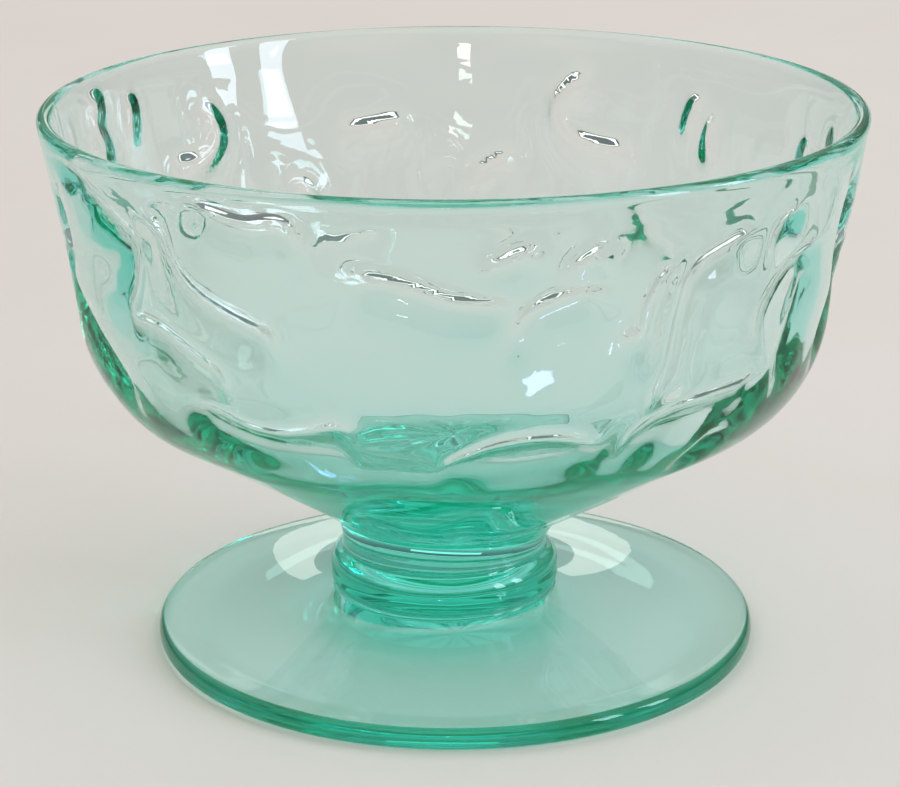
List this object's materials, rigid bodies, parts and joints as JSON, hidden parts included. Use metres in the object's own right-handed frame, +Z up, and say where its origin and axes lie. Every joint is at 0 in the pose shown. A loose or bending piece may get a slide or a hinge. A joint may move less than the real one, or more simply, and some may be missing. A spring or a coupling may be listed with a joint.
{
  "type": "footed sherbet glass",
  "caption": "Wide crinkled aqua glass bowl on a short waisted stem, a merese and a round foot, for serving sherbet, ice cream or fruit.",
  "frame": {"origin": "centre of the foot's resting face", "axes": "+Z up along the axis of the bowl and stem; the front in the picture faces -Y"},
  "size_m": [0.095, 0.095, 0.065],
  "materials": {
    "aqua_glass": "mould-blown and fire-polished, pale aqua, teal where it is thick"
  },
  "bodies": {
    "root": {"bowl": "aqua_glass", "stem": "aqua_glass", "merese": "aqua_glass", "foot": "aqua_glass"}
  },
  "joints": []
}
